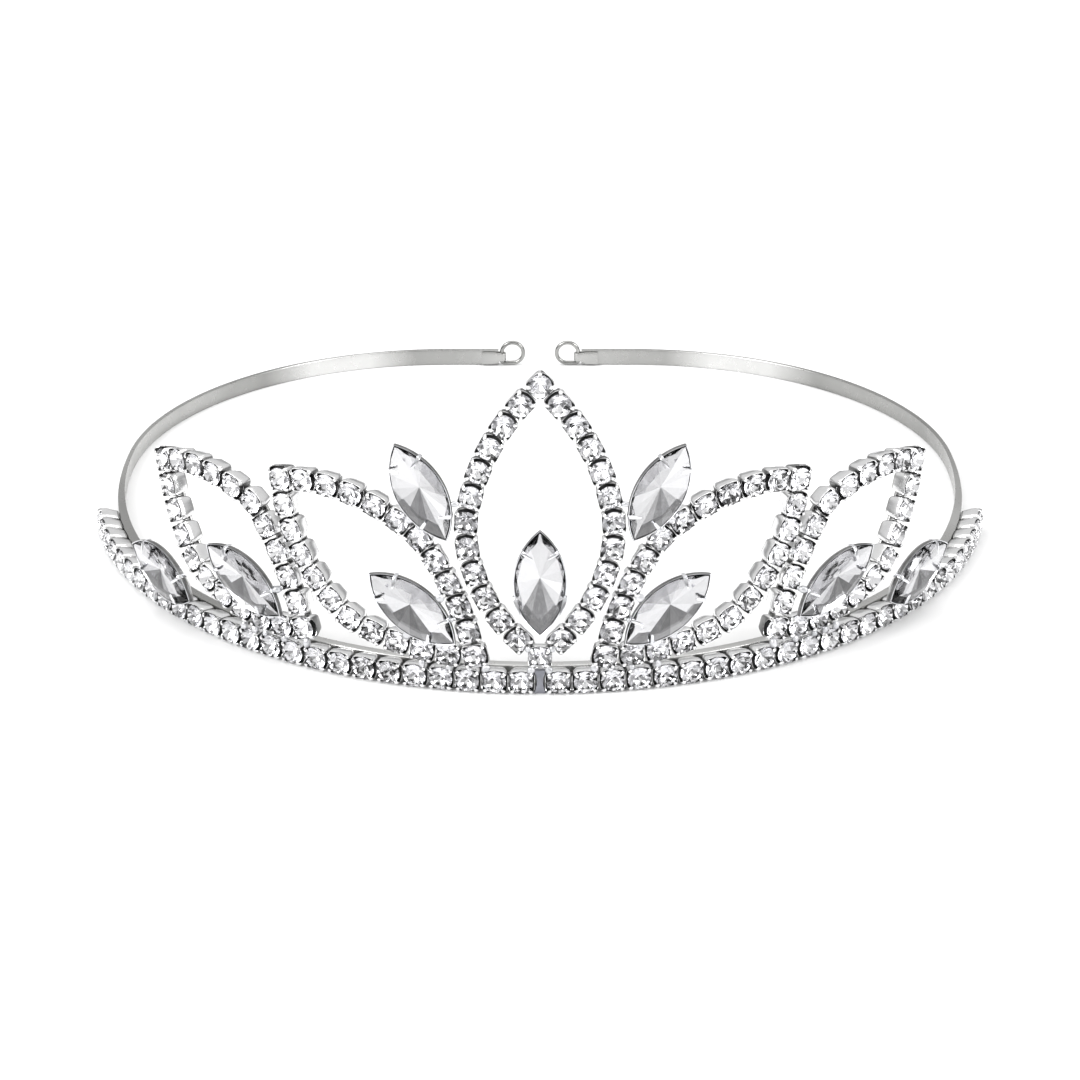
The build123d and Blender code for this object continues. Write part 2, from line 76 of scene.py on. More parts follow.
# ---- Reading the CAD nodes ----
def read_solids(node):
    """The separate solids of a CAD node: each one's points in mm and faces' (centre, normal)."""
    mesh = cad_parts[node].data
    points = np.array([v.co for v in mesh.vertices], float) / MM
    unique, inverse = np.unique(np.round(points, 3), axis=0, return_inverse=True)
    inverse = inverse.ravel()
    parent = list(range(len(unique)))

    def root(i):
        while parent[i] != i:
            parent[i] = parent[parent[i]]
            i = parent[i]
        return i

    for edge in mesh.edges:
        a, b = root(inverse[edge.vertices[0]]), root(inverse[edge.vertices[1]])
        if a != b:
            parent[max(a, b)] = min(a, b)
    roots = np.array([root(i) for i in range(len(unique))])
    faces = {}
    for polygon in mesh.polygons:
        owner = int(roots[inverse[polygon.vertices[0]]])
        face = (np.array(polygon.center) / MM, np.array(polygon.normal))
        faces.setdefault(owner, []).append(face)
    return [(unique[roots == r], faces[int(r)]) for r in sorted(set(roots))]


def table_normal(points, faces):
    """The normal of a stone's table, its outermost face."""
    outward = points.mean(0) - [0.0, WALL_AXIS_Y, 0.0]
    outward[2] = 0.0
    return max(faces, key=lambda face: face[0] @ outward)[1]


def as_matrix(origin, x_dir, normal):
    x_dir = x_dir / np.linalg.norm(x_dir)
    y_dir = np.cross(normal, x_dir)
    matrix = np.eye(4)
    matrix[:3, 0], matrix[:3, 1], matrix[:3, 2], matrix[:3, 3] = x_dir, y_dir, normal, origin
    return matrix


def chaton_places(cup_node, stone_node):
    """For every round stone: girdle centre, the cup's side as x and the table's normal as z."""
    cups = read_solids(cup_node)
    cup_centres = np.array([points.mean(0) for points, _ in cups])
    places = []
    for points, faces in read_solids(stone_node):
        normal = table_normal(points, faces)
        mean = points.mean(0)
        origin = mean + normal * ((points @ normal).max() - mean @ normal - STONE_CROWN)
        cup = cups[int(np.argmin(np.linalg.norm(cup_centres - origin, axis=1)))][0]
        reference = np.cross([0.0, 0.0, 1.0], normal)
        reference /= np.linalg.norm(reference)
        side = np.cross(normal, reference)
        # The claws stand at the corners, so four times their angles points the same way for all.
        tops = cup[(cup - origin) @ normal > CLAW_TIPS] - origin
        angles = np.arctan2(tops @ side, tops @ reference)
        roll = np.angle(np.exp(4j * angles).mean()) / 4 - math.pi / 4
        x_dir = reference * math.cos(roll) + side * math.sin(roll)
        places.append(as_matrix(origin, x_dir, normal))
    return places


def navette_place(stone_node):
    """The frame of a boat-shaped stone: x along it towards the upper tip, z out of its table."""
    points, faces = read_solids(stone_node)[0]
    normal = table_normal(points, faces)
    flat = points - np.outer(points @ normal, normal)
    gaps = np.linalg.norm(flat[:, None] - flat[None], axis=2)
    i, j = np.unravel_index(np.argmax(gaps), gaps.shape)
    if flat[i][2] < flat[j][2]:
        i, j = j, i
    origin = (flat[i] + flat[j]) / 2 + normal * ((points @ normal).max() - NAVETTE_CROWN)
    return as_matrix(origin, flat[i] - flat[j], normal)


# ---- Mesh building ----
# A mesh is (points in mm, faces) or (points in mm, faces, each face's material slot).
def join(meshes):
    points, faces, slots = [], [], []
    count = 0
    for mesh in meshes:
        points.append(np.asarray(mesh[0], float))
        faces += [[index + count for index in face] for face in mesh[1]]
        slots += list(mesh[2]) if len(mesh) > 2 else [SILVER] * len(mesh[1])
        count += len(mesh[0])
    return np.vstack(points), faces, slots


class Piece:
    """Collects meshes, then makes one object that rides on a body."""

    def __init__(self):
        self.meshes = []

    def add(self, mesh, matrix=None, slot=0):
        points, faces = np.asarray(mesh[0], float), mesh[1]
        if matrix is not None:
            points = points @ matrix[:3, :3].T + matrix[:3, 3]
        slots = mesh[2] if len(mesh) > 2 else [slot] * len(faces)
        self.meshes.append((points, faces, slots))

    def finish(self, name, materials, node, slot_name, body=FRAME_BODY, angle=None):
        """Faces meet softly below the angle, or are all flat if there is none."""
        points, faces, slots = join(self.meshes)
        mesh = bpy.data.meshes.new(name)
        mesh.from_pydata([tuple(p) for p in points * MM], [], faces)
        mesh.polygons.foreach_set("material_index", slots)
        for material in materials:
            mesh.materials.append(material)
        tones = rng.random(len(faces)).astype(np.float32)
        layer = mesh.attributes.new("facet_tone", "FLOAT", "FACE")
        layer.data.foreach_set("value", tones)
        mesh.polygons.foreach_set("use_smooth", [angle is not None] * len(faces))
        if angle is not None:
            mesh.set_sharp_from_angle(angle=math.radians(angle))
        mesh.validate()
        mesh.update()
        piece = bpy.data.objects.new(name, mesh)
        bpy.context.scene.collection.objects.link(piece)
        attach(piece, body)
        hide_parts(node)


def skin(rings, closed=True):
    """Quads between equal rings of points, with fans over the two ends if closed."""
    count = len(rings[0])
    points = np.vstack(rings)
    faces = []
    for level in range(len(rings) - 1):
        for i in range(count):
            j = (i + 1) % count
            a, b = level * count, (level + 1) * count
            faces.append([a + i, a + j, b + j, b + i])
    if closed:
        points = np.vstack([points, np.mean(rings[0], axis=0), np.mean(rings[-1], axis=0)])
        first, last = len(points) - 2, len(points) - 1
        end = (len(rings) - 1) * count
        faces += [[first, (i + 1) % count, i] for i in range(count)]
        faces += [[last, end + i, end + (i + 1) % count] for i in range(count)]
    return points, faces


def directions(path):
    """Unit vectors along an open path, and across it to its left."""
    for i in range(len(path)):
        ahead = path[min(i + 1, len(path) - 1)] - path[max(i - 1, 0)]
        ahead = ahead / np.linalg.norm(ahead)
        yield ahead, np.array([-ahead[1], ahead[0]])


def rounded_square(half, radius, corner_steps=5, side_steps=4):
    """Points round a square with rounded corners, anticlockwise."""
    ring = []
    inset = (half - radius) * math.sqrt(2)
    for quarter in range(4):
        turn = math.radians(90 * quarter)
        corner = turn + math.radians(45)
        cx, cy = inset * math.cos(corner), inset * math.sin(corner)
        for step in range(corner_steps + 1):
            angle = turn + math.radians(90 * step / corner_steps)
            ring.append((cx + radius * math.cos(angle), cy + radius * math.sin(angle)))
        end = ring[-1]
        start_x = -cy + radius * math.cos(turn + math.pi / 2)
        start_y = cx + radius * math.sin(turn + math.pi / 2)
        for step in range(1, side_steps):
            share = step / side_steps
            ring.append((end[0] + (start_x - end[0]) * share,
                         end[1] + (start_y - end[1]) * share))
    return np.array(ring)


def squarish(angle, width, height, power):
    """A point of an oval section whose sides grow flatter as power falls."""
    c, s = math.cos(angle), math.sin(angle)
    return (width / 2 * math.copysign(abs(c) ** power, c),
            height / 2 * math.copysign(abs(s) ** power, s))


def tongue(path, widths, thickness, turn, origin):
    """A bent claw: path points are (outwards, up), swept with a rounded flat section."""
    path = np.array(path, float)
    rings = []
    for (r, z), width, (_, across) in zip(path, widths, directions(path)):
        ring = []
        for angle in np.linspace(0, 2 * math.pi, 10, endpoint=False):
            w, t = squarish(angle, width, thickness, 0.72)
            ring.append((r + across[0] * t, w, z + across[1] * t))
        rings.append(ring)
    rings = np.array(rings)
    c, s = math.cos(turn), math.sin(turn)
    x = rings[..., 0] * c - rings[..., 1] * s + origin[0]
    y = rings[..., 0] * s + rings[..., 1] * c + origin[1]
    return skin(list(np.stack([x, y, rings[..., 2]], axis=-1)))


# ---- Cups of the round stones ----
# (inset from the outside, height, dip of the walls), from the back over the rim into the pocket
CUP_PROFILE = [
    (1.1, CUP_BACK + 0.02, 0.0),
    (0.66, CUP_BACK, 0.0),
    (0.55, CUP_BACK + 0.08, 0.0),
    (0.46, CUP_BACK + 0.3, 0.0),
    (0.03, -1.0, 0.0),
    (0.0, 0.04, 1.0),
    (0.02, 0.1, 1.0),
    (0.08, 0.1, 1.0),
    (0.11, 0.05, 1.0),
    (0.12, -1.1, 0.0),
    (0.5, -1.5, 0.0),
]
# Slots of the bands between those rings. None: silver, but painted shade where a wall faces a
# neighbour; the pocket's walls get painted shade too.
CUP_SLOTS = [BACK] * 3 + [None] * 3 + [SILVER] * 2 + [PAINTED_SHADE] * 2
FACING_DIP, BESIDE_DIP = 0.95, 0.25     # towards a neighbour, and beside the chain
FACING_SHARE = 1.12                     # how far round the corners the facing walls stop

CUP_CLAW_PATH = [(0.0, -0.9), (0.01, -0.25), (-0.02, 0.08), (-0.12, 0.32),
                 (-0.3, 0.47), (-0.5, 0.53), (-0.66, 0.5)]
CUP_CLAW_WIDTHS = [0.5, 0.56, 0.58, 0.56, 0.52, 0.44, 0.28]
CUP_CLAW_THICKNESS = 0.17
CUP_CLAW_INSET = 0.07
CUP_ACROSS = 1.81           # half sizes
CUP_ALONG_LIMIT = 2.08
CUP_CORNER = 0.44           # corner radius, as a share of the half size
CUP_GAP = 0.06              # from a cup's side to the middle between two cups


def cup_wall(along, across, corner):
    """Stamped cup: walls beside the chain stand high, those facing a neighbour dip in an arc."""
    rings = []
    for inset, height, dip in CUP_PROFILE:
        flat = rounded_square(1.0, 0.01 + corner) * [along - inset, across - inset]
        angle = np.arctan2(flat[:, 1], flat[:, 0])
        facing = np.clip(np.cos(2 * angle), 0, 1) ** 0.8
        beside = np.clip(-np.cos(2 * angle), 0, 1) ** 0.8
        rise = height - dip * (FACING_DIP * facing + BESIDE_DIP * beside)
        rings.append(np.column_stack([flat, rise]))
    points, faces = skin(rings)
    count = len(rings[0])
    slots = []
    # Walls facing a neighbour get painted shade: the dark gap between two cups.
    for index, slot in enumerate(slot for slot in CUP_SLOTS for _ in range(count)):
        middle = points[faces[index]].mean(0)
        facing = abs(middle[0]) * across > abs(middle[1]) * along * FACING_SHARE
        slots.append(slot if slot is not None else PAINTED_SHADE if facing else SILVER)
    # The pocket's bottom gets painted shade.
    slots += [BACK] * count + [PAINTED_SHADE] * count
    return points, faces, slots


def cup_mesh(along, across, corner):
    """One cup with its four claws; along is its half size in the chain's direction."""
    meshes = [cup_wall(along, across, corner)]
    reach = math.sqrt(2) * (1 - corner) + corner - CUP_CLAW_INSET
    for quarter in range(4):
        turn = math.radians(45 + 90 * quarter)
        x, y = math.cos(turn) * along * reach, math.sin(turn) * across * reach
        meshes.append(tongue(CUP_CLAW_PATH, CUP_CLAW_WIDTHS, CUP_CLAW_THICKNESS,
                             math.atan2(y, x), (x, y)))
    return join(meshes)


def bar_mesh(start, end, up, width, depth):
    """A link bar with rounded long edges between two points."""
    run = end - start
    run = run / np.linalg.norm(run)
    across = np.cross(up, run)
    across /= np.linalg.norm(across)
    over = np.cross(run, across)
    rings = []
    for point in (start, (start + end) / 2, end):
        ring = []
        for angle in np.linspace(0, 2 * math.pi, 12, endpoint=False):
            u, v = squarish(angle, width, depth, 0.5)
            ring.append(point + across * u + over * v)
        rings.append(np.array(ring))
    return skin(rings)


# ---- Round stones ----
def ring_points(radius, height, count, offset=0.0):
    angles = (np.arange(count) + offset) * 2 * math.pi / count
    x, y = radius * np.cos(angles), radius * np.sin(angles)
    return np.column_stack([x, y, np.full(count, height)])


def chaton_mesh():
    """Cut round stone with eight main facets above and below."""
    girdle_radius = 1.74
    table = ring_points(0.98, STONE_CROWN, 8, 0.5)
    upper = ring_points(girdle_radius, 0.07, 16)
    lower = ring_points(girdle_radius, -0.05, 16)
    middle = ring_points(0.8, -0.8, 8)
    points = np.vstack([table, upper, lower, middle, [[0, 0, -1.3]]])
    t, u, l, m, culet = 0, 8, 24, 40, 48
    faces, slots = [list(range(8))], [CROWN]
    for k in range(8):
        n = (k + 1) % 8
        # table corner k sits over girdle point 2k + 1
        faces.append([t + k, u + (2 * k) % 16, u + (2 * k + 1) % 16])
        faces.append([t + k, u + (2 * k + 1) % 16, u + (2 * k + 2) % 16])
        faces.append([t + k, u + (2 * k + 2) % 16, t + n])
        slots += [CROWN] * 3
    for i in range(16):
        j = (i + 1) % 16
        faces.append([u + i, l + i, l + j, u + j])
        slots.append(CROWN)
    for k in range(8):
        n = (k + 1) % 8
        faces.append([m + k, l + (2 * k) % 16, l + (2 * k - 1) % 16])
        faces.append([m + k, l + (2 * k + 1) % 16, l + (2 * k) % 16])
        faces.append([m + k, m + n, l + (2 * k + 1) % 16])
        faces.append([m + k, culet, m + n])
        slots += [FOIL] * 4
    return points, faces, slots


# ---- Boat-shaped stones and settings ----
def boat_ring(offset, height, count, length_scale=1.0, width_scale=1.0):
    """Points round the boat outline, grown by offset and scaled, anticlockwise from a tip."""
    radius = NAVETTE_ARC + offset
    half = math.sqrt(radius ** 2 - NAVETTE_DROP ** 2)
    reach = math.asin(half / radius)
    side = count // 2
    ring = []
    for place in range(count):
        if place < side:
            angle = reach - 2 * reach * place / side
            x, y = radius * math.sin(angle), radius * math.cos(angle) - NAVETTE_DROP
        else:
            angle = -reach + 2 * reach * (place - side) / side
            x, y = radius * math.sin(angle), -(radius * math.cos(angle) - NAVETTE_DROP)
        ring.append((x * length_scale, y * width_scale, height))
    return np.array(ring)


def navette_mesh():
    """Cut boat-shaped stone with n facets to its table and 2n to its culet."""
    n = 8
    grow, table_height, table_scale = 0.19, 0.68, 0.74
    upper = boat_ring(grow, 0.08, 2 * n)
    lower = boat_ring(grow, -0.08, 2 * n)
    table = boat_ring(0, table_height, n, table_scale, table_scale)
    culet = np.array([[0.7, 0.0, -1.1]])
    points = np.vstack([upper, lower, table, culet])
    u, l, t, k0 = 0, 2 * n, 4 * n, 5 * n
    faces, slots = [[t + i for i in range(n)]], [CROWN]
    for k in range(n):
        a, b, c = 2 * k, 2 * k + 1, (2 * k + 2) % (2 * n)
        nxt = (k + 1) % n
        faces += [[t + k, u + a, u + b], [t + k, u + b, t + nxt], [t + nxt, u + b, u + c]]
        slots += [CROWN] * 3
        faces += [[k0, l + b, l + a], [k0, l + c, l + b]]
        slots += [FOIL] * 2
    for i in range(2 * n):
        j = (i + 1) % (2 * n)
        faces.append([u + i, l + i, l + j, u + j])
        slots.append(FOIL)
    return points, faces, slots


SETTING_STRETCH = 1.018     # the rim's tips stand a little beyond the outline's
# (growth of the outline, height, length scale, width scale), from the back over the rim inside
SETTING_PROFILE = [
    (0, -2.36, 0.30, 0.20),
    (0, -2.4, 0.58, 0.34),
    (0, -2.32, 0.62, 0.40),
    (0.32, -0.72, SETTING_STRETCH, 1.0),
    (0.39, -0.42, SETTING_STRETCH, 1.0),
    (0.40, -0.02, SETTING_STRETCH, 1.0),
    (0.37, 0.07, SETTING_STRETCH, 1.0),
    (0.29, 0.10, SETTING_STRETCH, 1.0),
    (0.235, 0.05, SETTING_STRETCH, 1.0),
    (0.21, -0.55, SETTING_STRETCH, 1.0),
    (-0.5, -0.95, SETTING_STRETCH, 1.0),
    (0, -2.1, 0.35, 0.22),
]
# Slots of the bands between those rings, then of the two ends; the dark ones are painted shade, on
# the outer wall under the rim and in the groove round the stone
SETTING_SLOTS = [BACK] * 4 + [PAINTED_SHADE] * 2 + [SILVER] * 2 + [PAINTED_SHADE] * 3 + [BACK] * 2
SETTING_CLAW_PATH = [(-0.05, -1.0), (0.0, -0.3), (-0.02, 0.18), (-0.16, 0.38), (-0.45, 0.52),
                     (-0.95, 0.7), (-1.45, 0.86), (-1.72, 0.9)]
SETTING_CLAW_WIDTHS = [0.6, 0.62, 0.62, 0.6, 0.58, 0.52, 0.42, 0.24]
SETTING_CLAW_THICKNESS = 0.18


def setting_mesh(claws, slanted=False):
    """Boat-shaped setting: flared wall, thin rim, a groove round the stone, claws; the groove and
    the wall under the rim carry painted shade.

    Slanted makes the lower claws long and turns them along the stone.
    """
    count = 64
    rings = [boat_ring(grow, height, count, length, width)
             for grow, height, length, width in SETTING_PROFILE]
    points, faces = skin(rings)
    meshes = [(points, faces, [slot for slot in SETTING_SLOTS for _ in range(count)])]
    radius = NAVETTE_ARC + 0.4
    for along, side in claws:
        angle = math.asin(along / radius)
        x = radius * math.sin(angle)
        y = (radius * math.cos(angle) - NAVETTE_DROP) * side
        turn = math.atan2(side * math.cos(angle), math.sin(angle))
        path = SETTING_CLAW_PATH
        if slanted and along < 0:
            turn = math.atan2(side * 0.28, 0.96)
            path = [(r * 1.6, z * 0.9) for r, z in path]
        meshes.append(tongue(path, SETTING_CLAW_WIDTHS, SETTING_CLAW_THICKNESS, turn, (x, y)))
    return join(meshes)


# ---- Materials ----
def new_material(name):
    material = bpy.data.materials.new(name)
    material.use_nodes = True
    tree = material.node_tree
    tree.nodes.clear()
    output = tree.nodes.new("ShaderNodeOutputMaterial")
    shader = tree.nodes.new("ShaderNodeBsdfPrincipled")
    tree.links.new(shader.outputs["BSDF"], output.inputs["Surface"])
    return material, tree, shader


def noise(tree, scale, detail=3.0, stretch=None):
    """Noise in object space; scale is in features per metre."""
    place = tree.nodes.new("ShaderNodeTexCoord")
    texture = tree.nodes.new("ShaderNodeTexNoise")
    texture.inputs["Scale"].default_value = scale
    texture.inputs["Detail"].default_value = detail
    if stretch:
        mapping = tree.nodes.new("ShaderNodeMapping")
        mapping.inputs["Scale"].default_value = stretch
        tree.links.new(place.outputs["Object"], mapping.inputs["Vector"])
        tree.links.new(mapping.outputs["Vector"], texture.inputs["Vector"])
    else:
        tree.links.new(place.outputs["Object"], texture.inputs["Vector"])
    return texture.outputs["Fac"]


def ramp(tree, value, stops):
    """Colours between (position, colour) stops; a colour may be one grey."""
    node = tree.nodes.new("ShaderNodeValToRGB")
    elements = node.color_ramp.elements
    while len(elements) < len(stops):
        elements.new(0.5)
    for element, (position, colour) in zip(elements, stops):
        element.position = position
        element.color = (*colour, 1) if isinstance(colour, tuple) else (colour, colour, colour, 1)
    tree.links.new(value, node.inputs["Fac"])
    return node.outputs["Color"]


def spread(tree, value, low, high, source=(0.3, 0.7)):
    """The value's source range, by default a noise's usual one, mapped to low and high."""
    node = tree.nodes.new("ShaderNodeMapRange")
    node.inputs["From Min"].default_value = source[0]
    node.inputs["From Max"].default_value = source[1]
    node.inputs["To Min"].default_value = low
    node.inputs["To Max"].default_value = high
    tree.links.new(value, node.inputs["Value"])
    return node.outputs["Result"]


def bump(tree, shader, value, strength, distance=0.00004):
    node = tree.nodes.new("ShaderNodeBump")
    node.inputs["Strength"].default_value = strength
    node.inputs["Distance"].default_value = distance
    tree.links.new(value, node.inputs["Height"])
    tree.links.new(node.outputs["Normal"], shader.inputs["Normal"])


def calculate(tree, operation, *values):
    node = tree.nodes.new("ShaderNodeMath")
    node.operation = operation
    for value, socket in zip(values, node.inputs):
        tree.links.new(value, socket)
    return node.outputs["Value"]


def painted_gleam_mask(tree):
    """Where a painted reflection makes the strip lighter: behind the stones and along part of each
    arm.
    """
    place = tree.nodes.new("ShaderNodeTexCoord")
    split = tree.nodes.new("ShaderNodeSeparateXYZ")
    tree.links.new(place.outputs["Object"], split.inputs["Vector"])
    side = spread(tree, calculate(tree, "ABSOLUTE", split.outputs["X"]), 0.0, 1.0, (0.0, 0.07))
    arm = ramp(tree, side, [(0.31, 0), (0.42, 1), (0.56, 1), (0.67, 0)])
    rear = spread(tree, split.outputs["Y"], 0.0, 1.0, (0.0, 0.01))
    front = spread(tree, split.outputs["Y"], 1.0, 0.0, (-0.058, -0.045))
    return calculate(tree, "MAXIMUM", calculate(tree, "MULTIPLY", arm, rear), front)


def plating(name, dark, light, rough, grain=900.0, stretch=None, relief=0.15, cloud=310.0,
            painted_gleam=None):
    """Metal plating: uneven colour (dark, light) and roughness, with a fine surface ripple.

    Where the strip carries its painted reflection, its colours are the painted_gleam pair, a
    painted highlight.
    """
    material, tree, shader = new_material(name)
    shader.inputs["Metallic"].default_value = 1.0
    clouds = noise(tree, cloud)
    colour = ramp(tree, clouds, [(0.3, dark), (0.7, light)])
    # Painted reflection: a lighter colour pair mixed in over the strip's gleaming stretches.
    if painted_gleam:
        mix = tree.nodes.new("ShaderNodeMix")
        mix.data_type = "RGBA"
        # sockets 6 and 7 are the colours A and B, and output 2 the mixed colour
        tree.links.new(painted_gleam_mask(tree), mix.inputs["Factor"])
        tree.links.new(colour, mix.inputs[6])
        bright = ramp(tree, clouds, [(0.3, painted_gleam[0]), (0.7, painted_gleam[1])])
        tree.links.new(bright, mix.inputs[7])
        colour = mix.outputs[2]
    tree.links.new(colour, shader.inputs["Base Color"])
    tree.links.new(spread(tree, noise(tree, grain), *rough), shader.inputs["Roughness"])
    bump(tree, shader, noise(tree, grain * 2.5, 2.0, stretch), relief)
    return material


def crystal(name, refraction):
    """Clear cut glass with the faintest tint and polishing marks."""
    material, tree, shader = new_material(name)
    shader.inputs["Transmission Weight"].default_value = 1.0
    shader.inputs["IOR"].default_value = refraction
    tints = [(0.3, (0.975, 0.975, 0.98)), (0.7, (0.996, 0.994, 0.99))]
    tint = ramp(tree, noise(tree, 260.0), tints)
    tree.links.new(tint, shader.inputs["Base Color"])
    tree.links.new(spread(tree, noise(tree, 1500.0), 0.0, 0.03), shader.inputs["Roughness"])
    return material


def foil(name, stops):
    """Silver foil behind a stone's pavilion, a little different on every facet."""
    material, tree, shader = new_material(name)
    shader.inputs["Metallic"].default_value = 1.0
    tone = tree.nodes.new("ShaderNodeAttribute")
    tone.attribute_name = "facet_tone"
    greys = [(place, (grey, grey, min(grey * 1.02, 1.0))) for place, grey in stops]
    tree.links.new(ramp(tree, tone.outputs["Fac"], greys), shader.inputs["Base Color"])
    tree.links.new(spread(tree, noise(tree, 1200.0), 0.04, 0.14), shader.inputs["Roughness"])
    return material


silver = plating("silver_plating", (0.84, 0.84, 0.85), 0.95, (0.12, 0.24))
setting_silver = plating("setting_plating", (0.78, 0.79, 0.82), (0.92, 0.92, 0.94),
                         (0.10, 0.22))
# The strip's second, lighter colour pair is a painted reflection behind the stones and along each
# arm.
band_silver = plating("band_plating", (0.27, 0.27, 0.262), (0.58, 0.58, 0.57), (0.24, 0.38),
                      grain=700.0, stretch=(1.0, 1.0, 0.04), relief=0.3, cloud=26.0,
                      painted_gleam=((0.64, 0.64, 0.63), (0.82, 0.82, 0.81)))
wire_silver = plating("wire_plating", (0.27, 0.27, 0.265), (0.40, 0.40, 0.39), (0.16, 0.28),
                      grain=1200.0)
link_silver = plating("link_plating", (0.20, 0.205, 0.23), (0.32, 0.325, 0.36), (0.3, 0.42),
                      grain=1100.0)
solder_silver = plating("solder_plating", (0.62, 0.63, 0.65), (0.78, 0.78, 0.8), (0.3, 0.45),
                        grain=1600.0, relief=0.6)
back_silver = plating("back_plating", 0.36, (0.50, 0.50, 0.49), (0.26, 0.42))
# Dark metal for painted shade: cup pockets, cup walls facing a neighbour, the settings' grooves and
# the walls under their rims.
painted_shade_metal = plating("painted_shade_plating", 0.15, 0.30, (0.35, 0.55))
glass = crystal("crystal_glass", 1.33)
navette_glass = crystal("navette_glass", 1.22)
stone_foil = foil("crystal_foil", [(0.0, 0.02), (0.08, 0.3), (0.2, 0.9), (1.0, 0.98)])
navette_foil = foil("navette_foil", [(0.0, 0.50), (0.15, 0.56), (0.45, 0.63), (1.0, 0.72)])

# ---- Round stones in their cups ----
END_CUP = cup_mesh(1.78, 1.78, 0.55)        # the apex and the foot
CHATON = chaton_mesh()
CHAIN_PITCH = 4.0
LINK_WIDTH, LINK_THICKNESS = 1.15, 0.55
LINK_START = 0.6            # a bar starts this far from the cup's middle towards the next cup's

# Cups are linked within a group: (node's first part, side)
groups = [[("base_row", "left")], [("base_row", "right")],
          [("centre_petal", "left"), ("centre_petal", "right"), ("apex", ""), ("foot", "")]]
for leaf in ("inner", "outer"):
    for side in ("left", "right"):
        groups.append([(f"{leaf}_petal_upper", side), (f"{leaf}_petal_lower", side)])

for group in groups:
    members = []
    for name, side in group:
        cup_node = f"{name}_cups_{side}" if side else f"{name}_cup"
        stone_node = f"{name}_stones_{side}" if side else f"{name}_stone"
        members.append((cup_node, stone_node, chaton_places(cup_node, stone_node)))
    every = [place for _, _, places in members for place in places]
    centres = np.array([place[:3, 3] for place in every])
    for cup_node, stone_node, places in members:
        origins = np.array([place[:3, 3] for place in places])
        spacing = np.linalg.norm(origins[:, None] - origins[None], axis=2)
        spacing += CHAIN_PITCH * np.eye(len(origins))
        cup = END_CUP
        if len(places) > 1:
            along = min(spacing.min() / 2 - CUP_GAP, CUP_ALONG_LIMIT)
            cup = cup_mesh(along, CUP_ACROSS, CUP_CORNER)
        cups, stones = Piece(), Piece()
        for place in places:
            origin, normal = place[:3, 3], place[:3, 2]
            gaps = np.linalg.norm(centres - origin, axis=1)
            nearest = np.argsort(gaps)[1:3]
            towards = centres[nearest[0]] - origin
            if abs(towards @ place[:3, 1]) > abs(towards @ place[:3, 0]):
                place = as_matrix(origin, place[:3, 1], normal)
            cups.add(cup, place)
            stones.add(CHATON, place)
            for other in nearest[gaps[nearest] <= LINK_REACH]:
                here = origin + normal * LINK_DEPTH
                there = centres[other] + every[other][:3, 2] * LINK_DEPTH
                middle = (here + there) / 2
                start = here + (middle - here) * LINK_START
                cups.add(bar_mesh(start, middle, normal, LINK_WIDTH, LINK_THICKNESS), slot=BACK)
        cups.finish(cup_node + "_detail", [silver, painted_shade_metal, back_silver], cup_node,
                    "cup_silver", angle=38)
        stones.finish(stone_node + "_cut", [glass, stone_foil], stone_node, "crystal")

# ---- Boat-shaped stones in their settings ----
NAVETTE = navette_mesh()
SIDE_SETTING = setting_mesh(SIDE_CLAWS)
CENTRE_SETTING = setting_mesh(CENTRE_CLAWS, slanted=True)
names = ["centre"]
for spot in ("upper", "inner", "outer", "far"):
    names += [f"{spot}_left", f"{spot}_right"]
for name in names:
    setting_node, stone_node = f"navette_setting_{name}", f"navette_stone_{name}"
    place = navette_place(stone_node)
    setting, stone = Piece(), Piece()
    setting.add(CENTRE_SETTING if name == "centre" else SIDE_SETTING, place)
    stone.add(NAVETTE, place)
    setting.finish(setting_node + "_detail", [setting_silver, painted_shade_metal, back_silver], setting_node,
                   "setting_silver", angle=32)
    stone.finish(stone_node + "_cut", [navette_glass, navette_foil], stone_node, "navette_crystal")

# ---- Headband ----
# (inner radius, degrees turned) of each arc of the left half, from the front's middle
ARCS = [(BAND_INNER_RADIUS, 73.0), (86.0, 22.5), (50.8, 84.5)]
FRONT_THICKNESS, REAR_THICKNESS = 1.5, 0.7
FRONT_HEIGHT, HEIGHT_LOSS = 3.3, 0.55
FACE_SHARES = (0.25, 0.5, 0.75)

# The strip's end, folded back behind it and rolled round the loop's leg.
FLAP_THICKNESS = 0.34
FLAP_OFFSET = 0.42          # the fold's distance from the pivot
ROLL_RADIUS = 0.57          # the roll's middle
ROLL_HEIGHTS = (0.9, 2.3)
# (x, distance behind the pivot, (low, high)) before the roll, and (x, low, high) after it
FLAP_START = [(-9.0, 0.42, (0.2, 2.5)), (-7.8, 0.49, (0.75, 2.35)), (-6.6, 0.56, ROLL_HEIGHTS)]
FLAP_END = [(-6.95, 0.88, 2.32), (-7.4, 0.6, 2.4), (-7.9, 0.32, 2.48), (-9.0, 0.25, 2.5),
            (-10.0, 0.3, 2.46)]


def band_stations():
    """(inner point, outward normal, thickness) along the left half from the front centre."""
    stations = []
    point, heading = np.array([0.0, INNER_FRONT_Y]), math.pi
    for index, (radius, turn) in enumerate(ARCS):
        steps = max(int(turn * 1.6), 30)
        centre = point + radius * np.array([math.sin(heading), -math.cos(heading)])
        for step in range(1 if stations else 0, steps + 1):
            share = step / steps
            now = heading - math.radians(turn) * share
            radial = -np.array([math.sin(now), -math.cos(now)])
            blend = share * share * (3 - 2 * share)
            thinning = FRONT_THICKNESS - (FRONT_THICKNESS - REAR_THICKNESS) * blend
            thickness = (FRONT_THICKNESS, thinning, REAR_THICKNESS)[index]
            stations.append((centre + radius * radial, radial, thickness))
        heading -= math.radians(turn)
        point = stations[-1][0]
    end_x = -EYE_X - EYE_RADIUS + 0.2
    start_x, y = point
    for share in (0.25, 0.5, 0.75, 1.0):
        place = np.array([start_x + (end_x - start_x) * share, y])
        stations.append((place, np.array([0.0, 1.0]), REAR_THICKNESS))
    return stations


